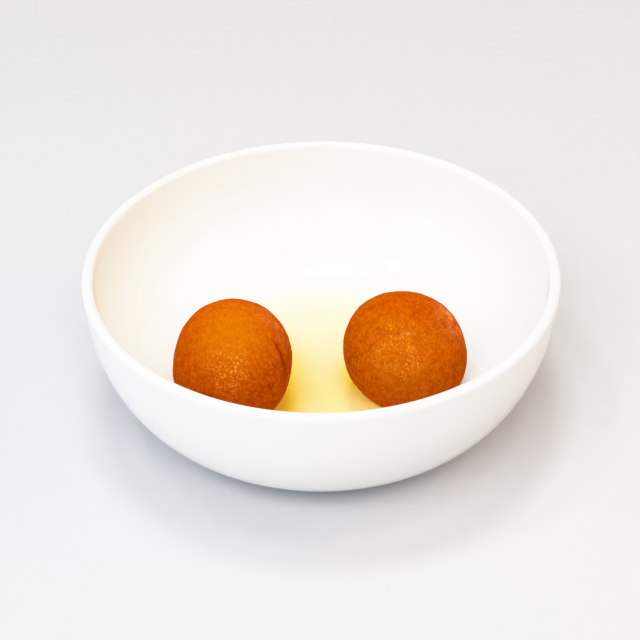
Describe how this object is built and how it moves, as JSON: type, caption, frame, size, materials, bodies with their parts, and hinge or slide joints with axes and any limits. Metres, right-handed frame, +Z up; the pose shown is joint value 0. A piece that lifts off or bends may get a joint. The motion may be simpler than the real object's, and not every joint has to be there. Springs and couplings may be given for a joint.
{
  "type": "gulab jamun in a bowl",
  "caption": "Syrup-soaked fried milk dough balls resting in a shallow pool of pale sugar syrup, served in a plain white glazed coupe bowl with a foot ring.",
  "frame": {"origin": "on the bowl's axis, on the plane that the foot ring stands on", "axes": "+Z up along the bowl's axis, +X to the bowl's right-hand side, -Y towards the front, where the two sweets lie nearest"},
  "size_m": [0.156, 0.156, 0.053],
  "materials": {
    "glazed_porcelain": "polished",
    "sugar_syrup": "polished",
    "fried_milk_dough": "satin"
  },
  "bodies": {
    "root": {"bowl": "glazed_porcelain", "syrup": "sugar_syrup", "gulab_jamun_left": "fried_milk_dough", "gulab_jamun_right": "fried_milk_dough"}
  },
  "joints": []
}
